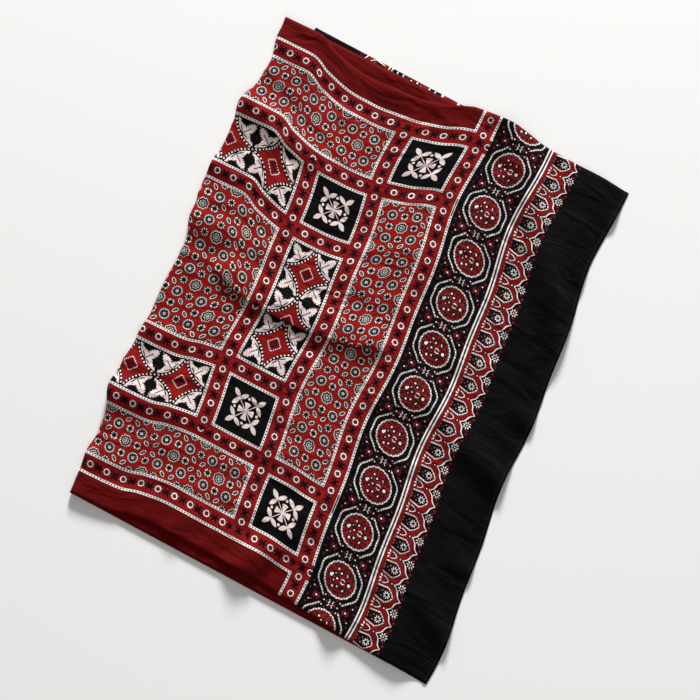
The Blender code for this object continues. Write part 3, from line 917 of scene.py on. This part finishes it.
# Medallion band: discs in two chain rings, the outer one open beside its neighbours, with a
# bouquet of drops in each disc among dark foliage, which is drawn as a scatter of flecks
DISC_SCALLOPS = 20.0
DISC_SCALLOP = 0.6
RIM_SCALLOP = 1.4
RIM_OPENING = 23.0
DISC_LINKS = 38.0
RIM_LINKS = 52.0
LINK_CUT = 0.40
BETWEEN_CHAINS = 44.0
RIM_FLECKS = 14.0
RIM_FLECK_CUT = 0.55
INNER_FLECKS = 9.0
INNER_FLECK_CUT = 0.2
FOLIAGE_PER_MM = 0.17
FOLIAGE_REACH = 32.0
DISC_DROPS = (
    # outward, aside, radius
    (-23.5, 0.8, 3.6),
    (-21.0, 4.0, 2.4),
    (-10.2, 20.2, 2.3),
    (-1.5, 14.5, 2.2),
    (12.4, 17.4, 1.5),
    (13.6, 14.6, 1.5),
    (-7.9, -0.3, 2.1),
    (-15.0, -7.5, 1.3),
    (-14.1, 8.5, 1.3),
    (-13.5, -20.2, 2.6),
    (-2.8, -15.8, 2.3),
    (21.8, -0.9, 3.6),
    (11.6, -19.4, 1.5),
    (13.0, -17.0, 1.5),
)
CRESCENT = ((6.5, -0.7, 2.6),)
CRESCENT_GAP = 2.0
disc_edge = add("Math.MULTIPLY_ADD", wave(angle, DISC_SCALLOPS), DISC_SCALLOP, radius)
rim_edge = add("Math.MULTIPLY_ADD", lobe, RIM_SCALLOP, radius)
has_rim = add("Math.GREATER_THAN", medallion_aside, RIM_OPENING)
link_count = add("Math.GREATER_THAN", radius, BETWEEN_CHAINS)
link_count = add("Math.MULTIPLY_ADD", link_count, RIM_LINKS - DISC_LINKS, DISC_LINKS)
link = wave(angle, link_count, LINK_CUT)
rim_link = add("Math.MULTIPLY", link, has_rim)
rim_fleck = wave(angle, RIM_FLECKS, RIM_FLECK_CUT)
inner_fleck = wave(angle, INNER_FLECKS, INNER_FLECK_CUT)
foliage = add("TexVoronoi", disc_place, FOLIAGE_PER_MM)[0]
in_disc = add("Math.LESS_THAN", radius, FOLIAGE_REACH)
berry = dots(disc_place, CRESCENT)
horns = add("Math.GREATER_THAN", apart(aside, CRESCENT[0][1]), CRESCENT_GAP)
border_print = stamp(
    linear(BLACK),
    (disc_edge, ((0.0, DISC_RED), (33.8, BLACK), (35.9, WHITE), (39.3, BLACK), (60.0, BLACK))),
    (rim_edge, ((45.0, None), (49.4, WHITE), (52.6, None)), has_rim),
    (disc_edge, ((36.0, None), (36.5, BLACK), (38.7, None)), link),
    (rim_edge, ((49.0, None), (49.9, BLACK), (52.1, None)), rim_link),
    (radius, ((26.0, None), (28.3, BLACK), (31.6, None)), rim_fleck),
    (radius, ((16.0, None), (19.2, LEAF_GREEN), (21.6, None)), inner_fleck),
    (foliage, ((0.0, LEAF_GREEN), (0.41, None), (1.0, None)), in_disc),
    (dots(disc_place, DISC_DROPS), ((-4.0, WHITE), (0.0, BLACK), (2.8, None))),
    (berry, ((-3.0, CRIMSON), (0.0, BLACK), (4.2, None))),
    (berry, ((1.0, None), (1.4, WHITE), (3.4, None)), horns),
)

# Between the medallions: white drops and curls, and dull red dots
JOINT_DROPS = ((19.0, 11.9, 1.6), (17.6, 0.0, 1.5), (50.0, 16.5, 1.6), (38.0, 0.0, 2.2))
DULL_DROPS = (
    # aside from the medallion line, along from the joint, radius
    (44.6, 0.0, 2.7),
    (31.4, 0.0, 2.7),
    (42.3, 5.0, 2.6),
    (33.7, 5.0, 2.6),
    (54.5, 25.0, 2.6),
    (45.0, 14.0, 2.2),
    (27.0, 15.0, 2.0),
    (11.0, 14.0, 2.2),
    (57.0, 8.0, 2.2),
    (10.4, 0.6, 2.6),
)
DULL_ROWS = ((-3.0, DULL_RED), (0.0, None), (1.0, None))
DISC_CHAIN_END = 41.0
CURL_PER_MM = 0.95
CURL_SWING = 1.5
CURL_ASIDE = 4.2
CURL_END = 7.0
outside_rings = add("Math.GREATER_THAN", radius, DISC_CHAIN_END)
curl = wave(from_joint, CURL_PER_MM)
curl = add("Math.MULTIPLY_ADD", curl, -CURL_SWING, medallion_aside)
past_curl = add("Math.SUBTRACT", from_joint, CURL_END)
curl = add("Math.MAXIMUM", apart(curl, CURL_ASIDE), past_curl)
border_print = stamp(
    border_print,
    (dots(joint, DULL_DROPS), DULL_ROWS, outside_rings),
    (dots(joint, JOINT_DROPS), ((-3.0, WHITE), (0.0, BLACK), (1.2, None))),
    (curl, ((0.0, WHITE), (0.85, BLACK), (1.6, None))),
)

# Arches outside a double line: each a red ogee round a beaded black horseshoe
VALLEY_X = 45.0
TIP_RISE = 24.0
CUSP_DEPTH = 2.6
ARCH_SLOPE = 0.77
SHOE_BASE = 9.5
SHOE_MIDDLE = 22.0
SHOE_BEND = 34.0
SHOE_SPLAY = 0.157
KEEL_SHARE = 0.55
SHOE_LINKS = 22.0
arch_edge = add("Math.MULTIPLY_ADD", from_valley, -TIP_RISE / (ARCH_STEP / 2), arch_x)
cusp = add("Math.SINE", add("Math.MULTIPLY", from_valley, 4.0 * math.pi / ARCH_STEP))
arch_edge = add("Math.MULTIPLY_ADD", cusp, -CUSP_DEPTH, arch_edge)
arch_edge = add("Math.SUBTRACT", arch_edge, VALLEY_X)
arch_edge = add("Math.MULTIPLY", arch_edge, ARCH_SLOPE)
past_bend = add("Math.SUBTRACT", arch_x, SHOE_BEND)
before_bend = add("Math.MINIMUM", past_bend, 0.0)
past_bend = add("Math.MAXIMUM", past_bend, 0.0)
shoe_y = add("Math.MULTIPLY_ADD", before_bend, -SHOE_SPLAY, from_tip)
shoe = add("VectorMath.LENGTH", add("CombineXYZ", past_bend, shoe_y, 0.0))
keel = add("Math.ADD", past_bend, shoe_y)
shoe = add("Mix", KEEL_SHARE, shoe, keel)
in_shoe = add("Math.GREATER_THAN", arch_x, SHOE_BASE)
from_shoe_middle = add("Math.SUBTRACT", arch_x, SHOE_MIDDLE)
shoe_turn = add("Math.ARCTAN2", from_tip, from_shoe_middle)
shoe_link = add("Math.MULTIPLY", wave(shoe_turn, SHOE_LINKS, LINK_CUT), in_shoe)
arch_print = stamp(
    linear(BLACK),
    (arch_edge, ((-60.0, ARCH_RED), (-2.4, BLACK), (-1.2, WHITE), (1.2, BLACK), (60.0, BLACK))),
    (shoe, ((0.0, BLACK), (15.0, WHITE), (17.7, BLACK), (18.7, None)), in_shoe),
    (shoe, ((15.0, None), (15.5, SOFT_BLACK), (17.1, None)), shoe_link),
)

# In and round the arches: dull red dots, eight-petalled flowers, and hooded buds in the valleys
ARCH_DULL = ((18.0, 0.0, 2.6), (31.0, 9.4, 2.3), (71.5, 8.6, 3.0), (67.5, 16.8, 3.0))
CURLED_BUDS = ((10.7, 3.2, 1.1), (23.5, 5.6, 1.5))
PETAL_MIDDLE = 5.7
OUTER_PETAL_SHIFT = 1.0
PETAL_HALF_LENGTH = 2.7
PETAL_HALF_WIDTH = 1.25
HOOD = ((17.5, 0.0, 0.0, 13.0, 7.6),)
HOOD_BASE = 16.5
HOOD_DROP = ((20.5, 0.0, 3.0),)
SPROUTS = ((9.9, 0.0, 0.0, 3.4, 1.7), (10.9, 6.6, 127.0, 3.5, 1.6))
VALLEY_DOT = ((39.0, 0.0, 1.5),)
arch_tip = add("CombineXYZ", arch_x, from_tip, 0.0)
arch_valley = add("CombineXYZ", arch_x, from_valley, 0.0)
petal_scale = 1.0 / PETAL_HALF_LENGTH
petal_start = -PETAL_MIDDLE / PETAL_HALF_LENGTH
petal_shift = -OUTER_PETAL_SHIFT / PETAL_HALF_LENGTH
petal_x = add("Math.MULTIPLY_ADD", radius, petal_scale, petal_start)
petal_x = add("Math.MULTIPLY_ADD", outside_arch, petal_shift, petal_x)
petal_y = add("Math.MULTIPLY", spoke, 1.0 / PETAL_HALF_WIDTH)
petal = add("VectorMath.LENGTH", add("CombineXYZ", petal_x, petal_y, 0.0))
hood = leaves(arch_valley, HOOD)
hooded = add("Math.GREATER_THAN", arch_x, HOOD_BASE)
arch_print = stamp(
    arch_print,
    (dots(arch_tip, ARCH_DULL), DULL_ROWS),
    (dots(arch_tip, CURLED_BUDS), ((-2.0, GREY), (0.0, None), (1.0, None))),
    (petal, ((0.0, WHITE), (1.0, None), (2.0, None))),
    (radius, ((0.0, WHITE), (1.5, None), (3.0, None)), outside_arch),
    (hood, ((-8.0, BLACK), (-1.7, WHITE), (0.0, BLACK), (0.7, None)), hooded),
    (dots(arch_valley, HOOD_DROP), ((-4.0, DULL_RED), (0.0, BLACK), (1.0, None))),
    (leaves(arch_valley, SPROUTS), ((-2.0, WHITE), (0.0, BLACK), (0.8, None))),
    (dots(arch_valley, VALLEY_DOT), ((-2.0, WHITE), (0.0, BLACK), (2.6, None))),
)
border_print = add("Mix", past_double, border_print, arch_print, data_type="RGBA")
from_double = apart(outward, DOUBLE_LINE)
double_rows = ((0.0, BLACK), (1.9, WHITE), (5.6, BLACK), (7.2, None))
border_print = stamp(border_print, (from_double, double_rows))

# The parts put together: tiles, ring bands, the chains beside them, the margins and the border
CHAIN_STEP = 7.118
star_tile = add("Math.MULTIPLY", past_corner, inner_frame)
flower_tile = add("Math.SUBTRACT", 1.0, is_long)
cloth_print = diaper_print
for is_part, part_print in (
    (flower_tile, square_print),
    (star_tile, star_print),
    (in_band, band_print),
):
    cloth_print = add("Mix", is_part, cloth_print, part_print, data_type="RGBA")
from_chain = apart(to_line, CHAIN_LINE)
chain_along = add("Math.PINGPONG", along, FRAME_STEP / 2)
chain_along = add("Math.SUBTRACT", chain_along, CHAIN_LINE)
chain_along = add("Math.WRAP", chain_along, CHAIN_STEP / 2, -CHAIN_STEP / 2)
chain_along = add("Math.ABSOLUTE", chain_along)
chain_dot = add("Math.MAXIMUM", from_chain, chain_along)
cloth_print = stamp(
    cloth_print,
    (from_chain, ((0.0, WHITE), (2.9, BLACK), (CHAIN_HALF, None))),
    (chain_dot, ((0.0, BLACK), (1.5, None), (3.0, None))),
)
in_margin = add("Math.LESS_THAN", side_depth, OUTER_CHAIN_EDGE)
in_margin = add("Math.MULTIPLY", in_margin, past_first_band)
cloth_print = add("Mix", in_margin, cloth_print, linear(MARGIN_RED), data_type="RGBA")
cloth_print = add("Mix", in_border, cloth_print, border_print, data_type="RGBA")

# The dyes soak in unevenly, in soft clouds and in small blots a few millimetres wide.
# A range is the noise's low and high, then the strength of the dye at each.
CLOUD_SCALE = 30.0
CLOUD_RANGE = (0.3, 0.7, 0.84, 1.10)
BLOT_SCALE = CLOUD_SCALE * 14.0
BLOT_RANGE = (0.25, 0.75, 0.86, 1.10)
cloud = add("TexNoise", flat_place, CLOUD_SCALE, 2.0, 0.6)[0]
cloud = add("MapRange", cloud, *CLOUD_RANGE)
blot = add("TexNoise", flat_place, BLOT_SCALE, 1.0, 0.5)[0]
blot = add("MapRange", blot, *BLOT_RANGE)
dye_strength = add("Math.MULTIPLY", cloud, blot)
cloth_print = add("VectorMath.SCALE", cloth_print, dye_strength)

# Running stitches that hold the turned hems of the two ends, drawn at twice their real width;
# the black thread is painted a little lighter than the black hem, as painted sheen
STITCH_LINE = 6.6
STITCH_STEP = 4.0
STITCH_HALF_WIDTH = 0.5
STITCH_GAP = 0.7
from_hem = add("Math.SUBTRACT", LENGTH_MM / 2, from_mid_length)
stitch = add("Math.LESS_THAN", apart(from_hem, STITCH_LINE), STITCH_HALF_WIDTH)
stitch_run = add("Math.PINGPONG", from_mid_width, STITCH_STEP / 2)
stitch_run = add("Math.GREATER_THAN", stitch_run, STITCH_GAP)
stitch = add("Math.MULTIPLY", stitch, stitch_run)
cloth_print = add("Mix", stitch, cloth_print, linear(THREAD_WITH_PAINTED_SHEEN), data_type="RGBA")

# Plain weave, drawn at about four times its real size so that it shows, with soft crumples
# drawn out along the length. Heights are in metres.
THREAD_MM = 1.6
WEAVE_HEIGHT = 0.00008
CRUMPLES_PER_METRE = (6.0, 17.0, 1.0)
CRUMPLE_HEIGHT = 0.018
STITCH_DEPTH = 0.0003
over_under = add("VectorMath.SCALE", from_middle, 2.0 * math.pi / THREAD_MM)
over_under = add("VectorMath.SINE", over_under)
warp, weft, _ = add("SeparateXYZ", over_under)
weave = add("Math.MULTIPLY", warp, weft)
weave = add("Math.MULTIPLY", weave, WEAVE_HEIGHT)
drawn_out = add("VectorMath.MULTIPLY", flat_place, CRUMPLES_PER_METRE)
crumple = add("TexNoise", drawn_out, 1.0, 3.0, 0.5, 2.0, 0.6)[0]
relief = add("Math.MULTIPLY_ADD", crumple, CRUMPLE_HEIGHT, weave)
relief = add("Math.MULTIPLY_ADD", stitch, -STITCH_DEPTH, relief)
relief = add("Bump", 1.0, 1.0, None, relief)

# Washed cotton is matt, with hardly any gloss and a faint bloom of fibre ends at low angles
COTTON_ROUGHNESS = 0.88
COTTON_SPECULAR = 0.06
FIBRE_BLOOM = 0.025
FIBRE_ROUGHNESS = 0.5
cotton_shader = tree.nodes["Principled BSDF"]
tree.links.new(cloth_print, cotton_shader.inputs["Base Color"])
tree.links.new(relief, cotton_shader.inputs["Normal"])
cotton_shader.inputs["Roughness"].default_value = COTTON_ROUGHNESS
cotton_shader.inputs["Specular IOR Level"].default_value = COTTON_SPECULAR
cotton_shader.inputs["Sheen Weight"].default_value = FIBRE_BLOOM
cotton_shader.inputs["Sheen Roughness"].default_value = FIBRE_ROUGHNESS
cloth_mesh.materials.append(cotton)

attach(cloth, "root")
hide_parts("ajrakh_cloth")
